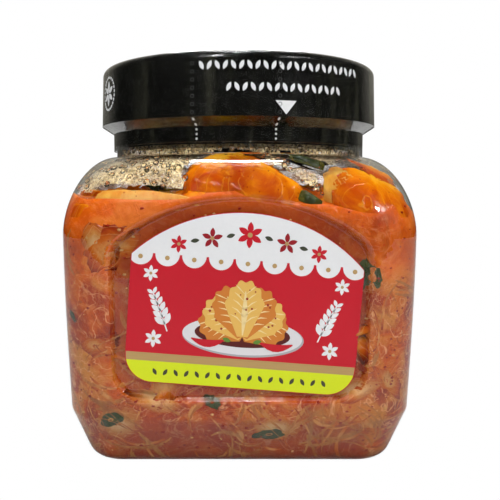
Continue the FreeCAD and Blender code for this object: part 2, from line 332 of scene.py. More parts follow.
def build_tear_dots():
    """The frayed rims of the holes in the band's two tear lines: grey on the drum, white lower down."""
    band = tree_of("shrink_band")

    def on_band(turn, z):
        out = Vector((math.cos(turn), math.sin(turn), 0))
        hit, _, _, _ = band.ray_cast(out * 0.09 + Vector((0, 0, z)), -out)
        return hit, out

    for name, rows, pitch, tone, inner, outer in (
        ("tear_rims", range(7), 2.7, 0.05, 0.48, 0.68),
        ("tear_dots", range(-5, 0), 1.6, 0.72, 0.1, 0.42),
    ):
        verts, faces = [], []
        for line in (-107.0, -76.0):
            for hole in rows:
                z = RIM_Z + pitch * MM * (hole + 0.5)
                base, fine = len(verts), True
                for reach, lift in ((inner, 0.02), (outer, 0.02), (outer, -0.03), (inner, -0.03)):
                    for step in range(12):
                        t = 2 * math.pi * step / 12
                        side = reach * math.cos(t) * MM / CAP_R
                        hit, out = on_band(math.radians(line) + side, z + reach * math.sin(t) * MM)
                        fine = fine and hit is not None and math.hypot(hit.x, hit.y) > NECK_R
                        verts.append((hit or Vector()) + out * lift * MM)
                if not fine:
                    del verts[base:]
                    continue
                for ring in range(4):
                    for step in range(12):
                        after = (step + 1) % 12
                        a, b = base + ring * 12, base + (ring + 1) % 4 * 12
                        faces.append((a + step, b + step, b + after, a + after))
        material = ink_material(name, (tone, tone, tone * 0.96))
        finish_piece(mesh_object(name, verts, faces), material)


# ---- kimchi
def kimchi_material():
    graph = Graph("kimchi_body")
    z = graph.axis("Z")
    warped = graph.warp(38.0, 0.016)
    broad = graph.noise(26.0, 3.0, 0.55, 0.6)
    patch = graph.noise(60.0, 4.0, 0.6, 1.2, warped)
    base = graph.ramp(
        patch,
        [
            (0.25, (0.16, 0.010, 0.001)),
            (0.42, (0.36, 0.036, 0.002)),
            (0.56, (0.55, 0.090, 0.002)),
            (0.72, (0.62, 0.18, 0.006)),
        ],
    )
    pale = graph.ramp(broad, [(0.3, (0.52, 0.12, 0.008)), (0.7, (0.66, 0.30, 0.05))])
    leafy = graph.span(graph.noise(34.0, 4.0, 0.55, 1.4, warped), 0.5, 0.62)
    colour = graph.mix(graph.times(leafy, 0.75), base, pale)
    # thin folded edges of leaves, like pale threads
    folds = graph.noise(85.0, 3.0, 0.5, 1.8, graph.warp(45.0, 0.012))
    ridge = graph.math("ABSOLUTE", graph.math("SUBTRACT", folds, 0.5))
    thread = graph.span(ridge, 0.0, 0.022, 1.0, 0.0)
    low = graph.span(z, 0.045, 0.085, 1.0, 0.12)
    shown = graph.times(thread, graph.times(low, 0.75))
    colour = graph.mix(shown, colour, (0.85, 0.46, 0.20))
    dark = graph.span(graph.noise(48.0, 3.0, 0.6, 1.0), 0.62, 0.75)
    colour = graph.mix(graph.times(dark, 0.7), colour, (0.14, 0.02, 0.004))
    flecks = graph.cells(300.0)
    colour = graph.mix(graph.span(flecks, 0.16, 0.08, 0.0, 0.8), colour, (0.42, 0.012, 0.003))
    # fine wrinkles of the leaves: a painted highlight on their ridges and painted shade in their creases, with the
    # same wrinkles in the bump
    wrinkle = graph.noise(210.0, 5.0, 0.7, 2.2, graph.warp(70.0, 0.01))
    colour = graph.mix(graph.span(wrinkle, 0.5, 0.66, 0.0, 0.42), colour, (0.76, 0.33, 0.10))
    colour = graph.mix(graph.span(wrinkle, 0.46, 0.34, 0.0, 0.5), colour, (0.20, 0.018, 0.002))
    uneven = graph.plus(z, graph.times(graph.math("SUBTRACT", broad, 0.5), 0.09))
    upper = graph.span(uneven, 66 * MM, 88 * MM, 0.0, 0.55)
    colour = graph.mix(upper, colour, (0.80, 0.15, 0.001))
    colour = graph.mix(graph.span(z, 1.5 * MM, 6 * MM, 0.7, 0.0), colour, (0.16, 0.014, 0.002))
    # painted shade: behind the sunk panels the kimchi is painted darker and redder, standing in for the shade in the
    # recesses
    deep = graph.span(graph.math("ABSOLUTE", graph.axis("Y")), HALF - 3.2 * MM, HALF - 1.4 * MM, 1.0, 0.0)
    inside = graph.span(graph.math("ABSOLUTE", graph.axis("X")), 40 * MM, 46 * MM, 1.0, 0.0)
    below = graph.span(z, 88 * MM, 95 * MM, 1.0, 0.0)
    shade = graph.times(graph.times(deep, inside), graph.times(below, 0.6))
    colour = graph.mix(shade, colour, (0.30, 0.028, 0.004))
    relief = graph.plus(patch, graph.plus(graph.times(thread, 0.3), wrinkle))
    return graph.food(colour, 0.22, 1.4, 0.15, (0.004, 0.0012, 0.0005), graph.bump(relief, 0.4, 0.8 * MM))


def build_kimchi():
    """The kimchi fills the jar and reaches a little into its wall, so that no gap of air shows."""
    mesh = nodes["kimchi"].data.copy()
    mesh.name = "kimchi_pressed"
    piece = bpy.data.objects.new("kimchi_pressed", mesh)
    bpy.context.scene.collection.objects.link(piece)
    bm = bmesh.new()
    bm.from_mesh(mesh)
    bmesh.ops.remove_doubles(bm, verts=bm.verts, dist=1e-6)
    bm.normal_update()
    for vert in bm.verts:
        out = vert.normal.copy()
        if out.z > 0.35 and vert.co.z > 0.085 and max(abs(vert.co.x), abs(vert.co.y)) < HALF - 6 * MM:
            continue
        vert.co += out * PRESS * MM
    bm.to_mesh(mesh)
    bm.free()
    mesh.polygons.foreach_set("use_smooth", [True] * len(mesh.polygons))
    return finish_piece(piece, kimchi_material(), ("kimchi",))


# ---- real pieces of kimchi
JAR_TREE = tree_of("jar")
KIMCHI_TREE = tree_of("kimchi")


def spread(angle):
    """The direction at an angle round the jar, 0 at the front and 90 at the right."""
    turn = math.radians(angle)
    return Vector((math.sin(turn), -math.cos(turn), 0))


def inner_wall(angle, z, lift, side_step=0.0):
    """A point on the jar's inside, lift deep in its wall, side_step metres round from the angle."""
    out = spread(angle)
    square = HALF / max(abs(out.x), abs(out.y))
    aim = (out * square + Vector((-out.y, out.x, 0)) * side_step).normalized()
    z = min(max(z, LOWEST), CAP_FOOT)
    hit, normal, _, _ = JAR_TREE.ray_cast(Vector((0, 0, z)), aim)
    if hit is None:
        return None
    return hit - normal * lift


def angle_of(x):
    """The angle round the jar of a place x metres from the middle of its front."""
    return math.degrees(math.atan2(x, HALF))


class Heap:
    """Many pieces of one kind, made as one mesh, with each piece's own coordinates for its shader."""

    def __init__(self):
        self.verts, self.faces, self.local = [], [], []

    def grid(self, points, local, rows, columns, wrap=True, centre=None):
        base = len(self.verts)
        self.verts += points
        self.local += local
        spans = columns if wrap else columns - 1
        for row in range(rows - 1):
            for column in range(spans):
                after = (column + 1) % columns
                a, b = base + row * columns + column, base + row * columns + after
                self.faces.append((a, b, b + columns, a + columns))
        if centre is not None:
            self.verts.append(centre[0])
            self.local.append(centre[1])
            middle = len(self.verts) - 1
            for column in range(spans):
                self.faces.append((middle, base + (column + 1) % columns, base + column))

    def piece(self, name, material, slot="kimchi"):
        made = mesh_object(name, self.verts, self.faces)
        stored = made.data.attributes.new("leaf", "FLOAT_VECTOR", "POINT")
        stored.data.foreach_set("vector", [c for p in self.local for c in p])
        return finish_piece(made, material)

    def pressed(self, angle, z, wide, tall, turn, lift, seed, frill, rings, spokes):
        """A leaf that lies flat against the wall, its edge frilled and a little lower than its middle."""
        own = random.Random(seed)
        waves = [(k, own.uniform(0, 6.28), own.uniform(0.3, 1.0) / k ** 0.7) for k in (2, 3, 5, 8, 13)]
        c, s = cos_sin(turn)
        points, local = [], []
        for ring in range(rings, 0, -1):
            for spoke in range(spokes):
                t = 2 * math.pi * spoke / spokes
                share = ring / rings
                edge = 1 + frill * sum(w * math.sin(k * t + p) for k, p, w in waves) * share
                a, b = share * edge * math.cos(t), share * edge * math.sin(t)
                u, v = wide * a * c - tall * b * s, wide * a * s + tall * b * c
                sunk = lift if ring < rings else lift - SUNK
                point = inner_wall(angle, z + v, sunk, u)
                points.append(point or Vector((0, 0, z)))
                local.append((a, b, seed % 17))
        middle = inner_wall(angle, z, lift)
        self.grid(points, local, rings, spokes, True, (middle, (0, 0, seed % 17)))

    def strand(self, angle, z, length, width, heading, bend, lift, seed, steps=16):
        """A long thread of leaf along the wall, thin at both ends, its sides sunk in the rest."""
        own = random.Random(seed)
        u = v = 0.0
        points, local = [], []
        for step in range(steps):
            t = step / (steps - 1)
            half = width / 2 * math.sin(math.pi * (0.06 + 0.88 * t)) ** 0.6 * own.uniform(0.75, 1.15)
            across, along = -math.sin(heading), math.cos(heading)
            for side, sunk in ((-1, SUNK), (0, 0.0), (1, SUNK)):
                point = inner_wall(angle, z + v + along * half * side, lift - sunk, u + across * half * side)
                points.append(point or Vector((0, 0, z)))
                local.append((2 * t - 1, side * 0.5, seed % 17))
            u += math.cos(heading) * length / steps
            v += math.sin(heading) * length / steps
            heading += bend / steps + own.uniform(-0.12, 0.12)
        self.grid(points, local, steps, 3, False)

    def pillow(self, centre, size, turns, seed, rough, columns, rows):
        """A thick folded piece: a lumpy flattened ball, kept inside the jar's wall."""
        own = random.Random(seed)
        about_x, about_y, about_z = (
            Matrix.Rotation(math.radians(turn), 3, axis) for turn, axis in zip(turns, "XYZ")
        )
        spin = about_z @ about_y @ about_x
        waves = []
        for k in (2.2, 3.1, 4.3, 6.0, 8.5):
            heading = Vector((own.uniform(-1, 1), own.uniform(-1, 1), own.uniform(-1, 1))) * k
            waves.append((heading, own.uniform(0, 6.28), 1 / k ** 0.9))
        points, local = [], []
        for row in range(rows):
            lat = math.pi * (row + 0.5) / rows - math.pi / 2
            for column in range(columns):
                lon = 2 * math.pi * column / columns
                unit = Vector((math.cos(lat) * math.cos(lon), math.cos(lat) * math.sin(lon), math.sin(lat)))
                boxy = Vector([math.copysign(abs(part) ** 0.75, part) for part in unit])
                lump = 1 + rough * sum(w * math.sin(d.dot(unit) * 3 + p) for d, p, w in waves)
                place = centre + spin @ Vector((boxy.x * size[0], boxy.y * size[1], boxy.z * size[2])) * lump
                points.append(keep_inside(place, SUNK))
                local.append((unit.x, unit.y, unit.z + seed % 17))
        base = len(self.verts)
        self.grid(points, local, rows, columns)
        for row, flip in ((0, False), (rows - 1, True)):
            ring = [base + row * columns + column for column in range(columns)]
            self.faces.append(tuple(ring if flip else ring[::-1]))

    def tube(self, path, radius, wall, seed, steps=14):
        """A short hollow stalk along a path of points, kept inside the wall."""
        own = random.Random(seed)
        for reach, inward in ((radius, False), (radius - wall, True)):
            points, local = [], []
            for place, point in enumerate(path):
                ahead = (path[min(place + 1, len(path) - 1)] - path[max(place - 1, 0)]).normalized()
                side = ahead.cross(Vector((0.2, 0.1, 1))).normalized()
                up = side.cross(ahead)
                for step in range(steps):
                    t = 2 * math.pi * step / steps
                    flat = 0.62 + 0.38 * abs(math.cos(t))
                    wave = 1 + 0.08 * math.sin(3 * t + own.random() * 0.2 + place)
                    spot = point + (side * math.cos(t) + up * math.sin(t)) * reach * flat * wave
                    points.append(keep_inside(spot, SUNK))
                    local.append((place / (len(path) - 1), step / steps, seed % 17))
            if inward:
                points = [points[r * steps + (steps - 1 - c)] for r in range(len(path)) for c in range(steps)]
            start = len(self.verts)
            self.grid(points, local, len(path), steps)
            if not inward:
                outer = start
        for end in (0, len(path) - 1):
            for step in range(steps):
                a, b = outer + end * steps + step, outer + end * steps + (step + 1) % steps
                inner = outer + len(path) * steps + end * steps
                c, d = inner + (steps - 2 - step) % steps, inner + (steps - 1 - step) % steps
                self.faces.append((a, b, c, d) if end else (d, c, b, a))


def keep_inside(point, lift):
    """The point, or where it would press against the jar's wall, lift deep in it."""
    flat = Vector((point.x, point.y, 0))
    if flat.length < 1e-6:
        return point
    z = min(max(point.z, LOWEST), CAP_FOOT + 4 * MM)
    hit, _, _, _ = JAR_TREE.ray_cast(Vector((0, 0, z)), flat.normalized())
    if hit is None:
        return Vector((point.x, point.y, z))
    far = math.hypot(hit.x, hit.y) + lift
    scale = min(1.0, far / flat.length)
    return Vector((point.x * scale, point.y * scale, z))


def top_of_kimchi(x, y):
    hit, _, _, _ = KIMCHI_TREE.ray_cast(Vector((x, y, 0.2)), Vector((0, 0, -1)))
    return hit.z if hit else None


def leaf_material(name, middle, side, edge, rib, glossy, veins, thin):
    """Cabbage leaf: pale at its rib, redder to its edge, with fine veins and specks of chilli."""
    graph = Graph(name)
    own = graph.node("Attribute", {"attribute_name": "leaf"}).outputs["Vector"]
    split = graph.node("SeparateXYZ", i0=own)
    across = graph.math("ABSOLUTE", split.outputs[0])
    flat = graph.node("CombineXYZ", i0=split.outputs[0], i1=split.outputs[1]).outputs[0]
    far = graph.node("VectorMath", {"operation": "LENGTH"}, i0=flat).outputs["Value"]
    wander = graph.noise(110.0, 4.0, 0.6, 0.8)
    reach = graph.plus(far, graph.times(graph.math("SUBTRACT", wander, 0.5), 1.3))
    colour = graph.ramp(graph.span(reach, 0.0, 1.15), [(0.0, rib), (0.35, middle), (0.75, side), (1.0, edge)])
    slant = graph.plus(graph.times(split.outputs[1], 9.0), graph.times(across, 7.0))
    bent = graph.plus(slant, graph.times(graph.noise(90.0, 3.0, 0.6), 5.0))
    wave = graph.math("ABSOLUTE", graph.math("SINE", bent))
    vein = graph.span(wave, 0.0, 0.22, veins, 0.0)
    colour = graph.mix(vein, colour, rib)
    blotch = graph.span(graph.noise(75.0, 4.0, 0.65, 1.0), 0.5, 0.7, 0.0, 0.65)
    colour = graph.mix(blotch, colour, edge)
    speck = graph.cells(420.0)
    colour = graph.mix(graph.span(speck, 0.15, 0.07, 0.0, 0.85), colour, (0.30, 0.008, 0.002))
    relief = graph.plus(graph.times(vein, 0.7), wander)
    rough = graph.span(graph.noise(220.0, 3.0), 0.3, 0.7, glossy * 0.6, glossy * 1.5)
    return graph.food(colour, rough, 1.42, thin, (0.005, 0.002, 0.0006), graph.bump(relief, 0.5, 0.6 * MM))


def stalk_material(name, pale, deep, glossy):
    graph = Graph(name)
    fibre = graph.noise(60.0, 4.0, 0.6, 0.2, graph.stretch(6.0, 6.0, 1.0))
    cloud = graph.noise(90.0, 4.0, 0.6)
    tone = graph.plus(graph.times(fibre, 0.6), graph.times(cloud, 0.4))
    colour = graph.ramp(tone, [(0.3, deep), (0.62, pale)])
    speck = graph.cells(380.0)
    colour = graph.mix(graph.span(speck, 0.14, 0.06, 0.0, 0.8), colour, (0.32, 0.02, 0.004))
    rough = graph.span(cloud, 0.3, 0.7, glossy * 0.7, glossy * 1.6)
    return graph.food(colour, rough, 1.42, 0.5, (0.006, 0.004, 0.0015), graph.bump(fibre, 0.5, 0.5 * MM))


def build_leaves():
    top, pressed, pale, threads, stalks, greens = (Heap() for _ in range(6))

    def at(x, y, z):
        return Vector((x * MM, y * MM, z * MM))

    def mm(*sizes):
        return tuple(size * MM for size in sizes)

    # the heap that shows in front, from left to right
    for heap, place, size, turns, seed, rough, columns, rows in (
        (top, (-5.5, -50, 99.0), (13.5, 9.5, 9.0), (8, -6, 4), 3, 0.07, 44, 26),
        (top, (7, -52, 97.0), (16, 8.5, 7.4), (-8, 27, -4), 5, 0.07, 44, 26),
        (top, (-2, -54, 88), (20, 7, 8), (4, 4, 0), 8, 0.1, 44, 24),
        (top, (43, -50, 93.0), (15, 13, 8.2), (8, 24, 8), 11, 0.06, 44, 26),
        (top, (52, -22, 88), (9, 16, 8), (0, 12, 0), 12, 0.08, 36, 20),
        (top, (36, -50, 88.5), (13, 8, 7), (0, -8, 12), 13, 0.1, 40, 24),
        (top, (-42, -47, 87), (19, 13, 5.6), (0, 2, 8), 17, 0.07, 44, 24),
        (top, (-54, -16, 86), (8, 20, 6), (3, 0, 0), 18, 0.08, 36, 20),
        (top, (-20, -52, 88.5), (12, 8, 4.5), (0, 8, -6), 19, 0.1, 36, 20),
        (stalks, (33.0, -56, 96.8), (5.6, 2.4, 6.6), (14, -12, 20), 23, 0.07, 36, 22),
        (stalks, (-31, -57, 93.0), (17, 5, 3.2), (0, 4, -4), 29, 0.1, 40, 18),
    ):
        heap.pillow(at(*place), mm(*size), turns, seed, rough, columns, rows)
    # the rest of the heap's top
    own = random.Random(41)
    for number in range(58):
        x, y = own.uniform(-54, 54) * MM, own.uniform(-44, 56) * MM
        z = top_of_kimchi(x, y)
        if z is None or (x * x + y * y) ** 0.5 > 66 * MM:
            continue
        heap = stalks if number % 5 == 0 else top
        size = mm(own.uniform(9, 17), own.uniform(5, 10), own.uniform(2.2, 4.6))
        turns = (own.uniform(-24, 24), own.uniform(-24, 24), own.uniform(0, 180))
        heap.pillow(Vector((x, y, z - 1.2 * MM)), size, turns, 100 + number, 0.2, 22, 12)
    # leaves pressed to the wall all the way round
    pale_leaves = (
        (-48.5, 79, 5.5, 7.5, 12),
        (13, 15, 8.5, 5.5, 0),
        (-44, 17, 9, 6.5, 20),
        (42, 29, 8, 3.6, 20),
        (-30, 25, 10, 4, -14),
    )
    for number, (x, z, wide, tall, turn) in enumerate(pale_leaves):
        pale.pressed(angle_of(x * MM), z * MM, wide * MM, tall * MM, turn, 0.44 * MM, 300 + number, 0.3, 8, 40)
    for number in range(30):
        angle, z = own.uniform(20, 340), own.uniform(12, 84) * MM
        size = own.uniform(5, 10)
        wide, tall = size * MM, size * own.uniform(0.4, 0.9) * MM
        turn, lift = own.uniform(0, 180), 0.42 * MM + number * 0.002 * MM
        pressed.pressed(angle, z, wide, tall, turn, lift, 400 + number, 0.55, 6, 32)
    # threads of leaf, in bundles
    for bundle in range(120):
        angle, z = own.uniform(0, 360), own.uniform(7, 80) * MM
        if bundle % 3 == 0:
            angle, z = own.uniform(-50, 50), own.uniform(6, 25) * MM
        heading, bend = own.uniform(0, 6.28), own.uniform(-2.2, 2.2)
        apart = own.uniform(2.0, 3.6) * MM
        for thread in range(own.randint(1, 4)):
            heap = threads if (bundle + thread) % 3 else pressed
            up = z + apart * thread * math.cos(heading) + 3 * MM * (own.random() - 0.5)
            length, width = own.uniform(10, 26) * MM, own.uniform(0.9, 3.2) * MM
            aim, lift = heading + own.uniform(-0.25, 0.25), (0.50 + 0.012 * (thread % 5)) * MM
            heap.strand(angle, up, length, width, aim, bend, lift, 700 + 7 * bundle + thread)
    # scallion
    greens.tube([at(20.5, -57, 94.6), at(23, -58, 93.2), at(26, -57.4, 91.2)], 3.0 * MM, 0.6 * MM, 1)
    greens.tube([at(19, -56, 107.4), at(23.5, -56, 106.2), at(28.5, -56, 104.2)], 2.2 * MM, 0.5 * MM, 2)
    green_leaves = (
        (44.5, 67.5, 3.2, 5.2, 4),
        (-10, 24.6, 3.4, 2.4, -30),
        (11, 12.6, 6.4, 2.6, 8),
        (-46, 18.5, 4.4, 3.0, 20),
    )
    for number, (x, z, wide, tall, turn) in enumerate(green_leaves):
        greens.pressed(angle_of(x * MM), z * MM, wide * MM, tall * MM, turn, 0.48 * MM, 600 + number, 0.42, 5, 28)
    for number in range(22):
        angle = own.choice((60, 90, 120, 150, 180, 210, 240, 270, 300)) + own.uniform(-16, 16)
        z, wide = own.uniform(10, 86) * MM, own.uniform(2, 4.6) * MM
        tall, turn = own.uniform(1.2, 2.6) * MM, own.uniform(0, 180)
        greens.pressed(angle, z, wide, tall, turn, 0.46 * MM, 640 + number, 0.42, 5, 28)
    for number in range(7):
        x, y = own.uniform(-45, 45) * MM, own.uniform(-30, 50) * MM
        z = (top_of_kimchi(x, y) or 0.09) + 2.5 * MM
        aim = spread(own.uniform(0, 360)) * 4 * MM
        path = [Vector((x, y, z)) - aim, Vector((x, y, z + 1 * MM)), Vector((x, y, z)) + aim]
        greens.tube(path, 2.1 * MM, 0.5 * MM, 20 + number)
    # middle, side, edge and rib of each kind of leaf
    for heap, name, material, tones, looks in (
        (top, "heap_leaves", "leaf_top",
         ((0.72, 0.26, 0.001), (0.66, 0.17, 0.001), (0.46, 0.055, 0.001), (0.84, 0.44, 0.02)), (0.14, 0.3, 0.15)),
        (pressed, "pressed_leaves", "leaf_red",
         ((0.55, 0.13, 0.01), (0.45, 0.07, 0.005), (0.26, 0.02, 0.002), (0.66, 0.30, 0.08)), (0.16, 0.6, 0.25)),
        (pale, "pale_leaves", "leaf_pale",
         ((0.58, 0.24, 0.06), (0.50, 0.13, 0.02), (0.36, 0.05, 0.006), (0.68, 0.38, 0.16)), (0.16, 0.6, 0.25)),
    ):
        heap.piece(name, leaf_material(material, *tones, *looks))
    for heap, name, material, light, deep, glossy in (
        (threads, "leaf_threads", "thread", (0.60, 0.24, 0.05), (0.30, 0.05, 0.005), 0.16),
        (stalks, "stalks", "stalk", (0.72, 0.42, 0.08), (0.62, 0.22, 0.02), 0.12),
        (greens, "scallions", "scallion", (0.055, 0.075, 0.015), (0.012, 0.024, 0.008), 0.2),
    ):
        heap.piece(name, stalk_material(material, light, deep, glossy))


def build_flakes():
    """Chilli flakes and garlic crumbs against the wall."""
    own = random.Random(77)
    kinds = {}
    for name, amount, low, high in (("chilli_flakes", 900, 0.25, 0.75), ("garlic_bits", 260, 0.3, 0.8)):
        verts, faces = [], []
        for _ in range(amount):
            angle, z = own.uniform(0, 360), own.uniform(5, 92) * MM
            spot = inner_wall(angle, z, 0.0)
            if spot is None or z > (top_of_kimchi(spot.x * 0.97, spot.y * 0.97) or 0.09) - 1 * MM:
                continue
            across = Vector((math.cos(math.radians(angle)), math.sin(math.radians(angle)), 0))
            size, corners, turn = own.uniform(low, high) * MM, 7, own.uniform(0, 6.28)
            base = len(verts)
            for lift in (0.2 * MM, 0.62 * MM):
                for corner in range(corners):
                    t = turn + 2 * math.pi * corner / corners
                    reach = size * own.uniform(0.6, 1.1)
                    u, up = reach * math.cos(t), 0.7 * reach * math.sin(t)
                    point = inner_wall(angle, z + up, lift, u)
                    verts.append(point or spot)
            close_prism(faces, base, corners)
        kinds[name] = (verts, faces)
    chilli = stalk_material("chilli", (0.36, 0.016, 0.003), (0.20, 0.006, 0.001), 0.2)
    garlic = stalk_material("garlic", (0.76, 0.42, 0.14), (0.60, 0.25, 0.05), 0.2)
    for name, material in (("chilli_flakes", chilli), ("garlic_bits", garlic)):
        finish_piece(mesh_object(name, *kinds[name]), material)


def leaf_tree():
    """Every leaf and stalk in the heap, so that drops and mist stay off those that touch the wall."""
    verts, faces = [], []
    for name in ("heap_leaves", "stalks", "scallions", "kimchi_pressed"):
        mesh = bpy.data.objects[name].data
        base = len(verts)
        verts += [v.co.copy() for v in mesh.vertices]
        faces += [tuple(base + i for i in p.vertices) for p in mesh.polygons]
    return BVHTree.FromPolygons(verts, faces)


def headspace_spots(amount, low, high, own):
    """Places and normals on the inside of the shoulder and neck, seen from the middle of the kimchi's top."""
    for _ in range(amount):
        lean = math.radians(own.uniform(low, high))
        out = spread(own.uniform(0, 360)) * math.cos(lean) + Vector((0, 0, math.sin(lean)))
        hit, normal, _, _ = JAR_TREE.ray_cast(HEAP_TOP, out)
        if hit is not None and hit.z < CAP_FOOT + 3 * MM:
            yield hit, normal


def build_drops():
    """Condensation inside the shoulder and neck: drops, and a thin mist between them."""
    own = random.Random(5)
    leaves = leaf_tree()
    verts, faces = [], []
    around = 8
    for hit, normal in headspace_spots(4300, 0.5, 21.5, own):
        if leaves.find_nearest(hit, 1.6 * MM)[0] is not None:
            continue
        size = (0.26 + 1.05 * own.random() ** 3.0) * MM
        side = normal.cross(Vector((0, 0, 1)))
        side = side.normalized() if side.length > 1e-3 else Vector((1, 0, 0))
        up = side.cross(normal)
        base = len(verts)
        stretch = own.uniform(0.8, 1.3)
        for ring, (reach, rise) in enumerate(((1.0, -0.12), (0.78, 0.26), (0.4, 0.42))):
            for step in range(around):
                t = 2 * math.pi * (step + 0.5 * (ring % 2)) / around
                across = side * math.cos(t) + up * math.sin(t) * stretch
                verts.append(hit + across * size * reach + normal * size * rise)
        verts.append(hit + normal * size * 0.46)
        verts.append(hit - normal * size * 0.12)
        for ring in range(2):
            for step in range(around):
                a, b = base + ring * around + step, base + ring * around + (step + 1) % around
                faces.append((a, a + around, b + around, b))
        for step in range(around):
            after = (step + 1) % around
            faces.append((base + 2 * around + step, base + 3 * around, base + 2 * around + after))
            faces.append((base + step, base + after, base + 3 * around + 1))
    graph = Graph("water")
    tone = graph.noise(300.0, 2.0)
    water = graph.clear((1.0, 0.97, 0.90), graph.span(tone, 0.3, 0.7, 0.01, 0.08), 1.33)
    finish_piece(mesh_object("condensation_drops", verts, faces), water)

    rows, columns = 40, 300
    mist = Heap()
    points, local = [], []
    for row in range(rows):
        lean = math.radians(-2 + 26 * row / (rows - 1))
        for column in range(columns):
            out = spread(360 * column / columns) * math.cos(lean) + Vector((0, 0, math.sin(lean)))
            hit, normal, _, _ = JAR_TREE.ray_cast(HEAP_TOP, out)
            points.append(hit + normal * 0.45 * MM)
            local.append((0, 0, 0))
    mist.grid(points, local, rows, columns)
    free = [leaves.find_nearest(point, 1.5 * MM)[0] is None for point in points]
    mist.faces = [face for face in mist.faces if all(free[corner] for corner in face)]
    graph = Graph("mist")
    cells = graph.cells(1500.0, vector=graph.warp(400.0, 0.001))
    blur = graph.noise(90.0, 4.0, 0.6)
    dots = graph.span(cells, 0.25, 0.5, 0.0, 1.0)
    colour = graph.ramp(
        graph.noise(900.0, 4.0, 0.7),
        [(0.34, (0.16, 0.10, 0.04)), (0.48, (0.62, 0.46, 0.22)), (0.66, (0.88, 0.78, 0.50))],
    )
    amount = graph.times(dots, graph.span(blur, 0.35, 0.62, 0.3, 0.9))
    shader = graph.principled(Base_Color=colour, Roughness=0.5, IOR=1.33, Alpha=amount)
    mist.piece("condensation_mist", graph.close(shader), "jar")


# ---- print on the front label
def clip(polygon, keep):
    """The part of a polygon on the left of each edge of a convex outline that turns left."""
    for index in range(len(keep)):
        (ax, ay), (bx, by) = keep[index], keep[(index + 1) % len(keep)]
        made = []
        for place in range(len(polygon)):
            p, q = polygon[place - 1], polygon[place]
            sp = (bx - ax) * (p[1] - ay) - (by - ay) * (p[0] - ax)
            sq = (bx - ax) * (q[1] - ay) - (by - ay) * (q[0] - ax)
            if (sp < 0) != (sq < 0):
                t = sp / (sp - sq)
                made.append((p[0] + (q[0] - p[0]) * t, p[1] + (q[1] - p[1]) * t))
            if sq >= 0:
                made.append(q)
        polygon = made
        if not polygon:
            return []
    return polygon


def arc(cx, cy, radius, start, end, steps=12, squeeze=1.0):
    made = []
    for step in range(steps + 1):
        angle = math.radians(start + (end - start) * step / steps)
        made.append((cx + radius * math.cos(angle), cy + radius * squeeze * math.sin(angle)))
    return made


def label_outline(margin):
    """The label's edge, inside by margin, going round to the left, in label millimetres."""
    half, tall, bow, low_r = 39.2 - margin, 30.1 - margin, 55.0 - margin, 9.5 - margin
    reach = math.degrees(math.asin(half / bow))
    top = arc(0, tall - bow, bow, 90 - reach, 90 + reach, 28)
    return (
        arc(half - low_r, low_r - tall, low_r, -90, 0)
        + top
        + arc(low_r - half, low_r - tall, low_r, 180, 270)
    )


EDGE = label_outline(0.25)
PRINT = {}


def ink(colour, polygon, layer):
    """Queues a flat printed shape, in label millimetres, clipped to the label."""
    polygon = clip(polygon, EDGE)
    if len(polygon) > 2:
        PRINT.setdefault(colour, []).append((polygon, layer))


def stroke(colour, points, width, layer, taper=False):
    """Queues a printed line through points; taper thins it to both ends."""
    left, right = [], []
    last = len(points) - 1
    for place, (x, y) in enumerate(points):
        x0, y0 = points[max(place - 1, 0)]
        x1, y1 = points[min(place + 1, last)]
        length = math.hypot(x1 - x0, y1 - y0) or 1
        nx, ny = -(y1 - y0) / length, (x1 - x0) / length
        half = width / 2 * (0.15 + 0.85 * math.sin(math.pi * place / last) if taper else 1)
        left.append((x + nx * half, y + ny * half))
        right.append((x - nx * half, y - ny * half))
    for place in range(last):
        quad = [right[place], right[place + 1], left[place + 1], left[place]]
        ink(colour, quad, layer)


def leaf_shape(x, y, size, turn, fat, steps):
    """The outline of a small leaf of two curved sides."""
    shape = []
    for step in range(steps + 1):
        t = step / steps
        shape.append((t - 0.5, fat * math.sin(math.pi * t) ** 0.8))
    shape += [(a, -b) for a, b in shape[-2:0:-1]]
    c, s = cos_sin(turn)
    return [(x + size * (a * c - b * s), y + size * (a * s + b * c)) for a, b in shape][::-1]


def leaf_mark(colour, x, y, size, turn, layer):
    """Queues a small printed leaf."""
    ink(colour, leaf_shape(x, y, size, turn, 0.24, 12), layer)


def ink_material(name, colour):
    graph = Graph("ink_" + name)
    fibre = graph.noise(900.0, 3.0, 0.6)
    cloud = graph.noise(35.0, 3.0)
    shade = tuple(c * 0.96 for c in colour)
    lifted = tuple(min(1.0, c * 1.04) for c in colour)
    grain = graph.plus(graph.times(fibre, 0.3), graph.times(cloud, 0.7))
    mixed = graph.ramp(grain, [(0.3, shade), (0.7, lifted)])
    shader = graph.principled(
        Base_Color=mixed,
        Roughness=graph.span(fibre, 0.2, 0.8, 0.3, 0.45),
        IOR=1.45,
        Normal=graph.bump(cloud, 0.15, 0.3 * MM),
    )
    return graph.close(shader)


INKS = {
    "white": (0.80, 0.80, 0.79),
    "red": (0.56, 0.004, 0.016),
    "deep_red": (0.32, 0.006, 0.012),
    "gold": (0.47, 0.30, 0.11),
    "lime": (0.66, 0.76, 0.005),
    "ink_black": (0.05, 0.055, 0.03),
    "dish": (0.72, 0.70, 0.70),
    "dish_shade": (0.42, 0.40, 0.41),
    "sauce": (0.10, 0.008, 0.006),
    "food_orange": (0.62, 0.20, 0.025),
    "food_gold": (0.78, 0.46, 0.10),
    "food_red": (0.33, 0.035, 0.01),
    "food_pale": (0.86, 0.66, 0.30),
    "food_green": (0.12, 0.24, 0.03),
}


def blossom(x, y, size, petals, colour, heart, layer):
    for petal in range(petals):
        turn = 360 / petals * petal + 90
        angle = math.radians(turn)
        leaf_mark(colour, x + size * 0.56 * math.cos(angle), y + size * 0.56 * math.sin(angle), size, turn, layer)
    ink(heart, arc(x, y, size * 0.2, 0, 340, 12), layer + 1)


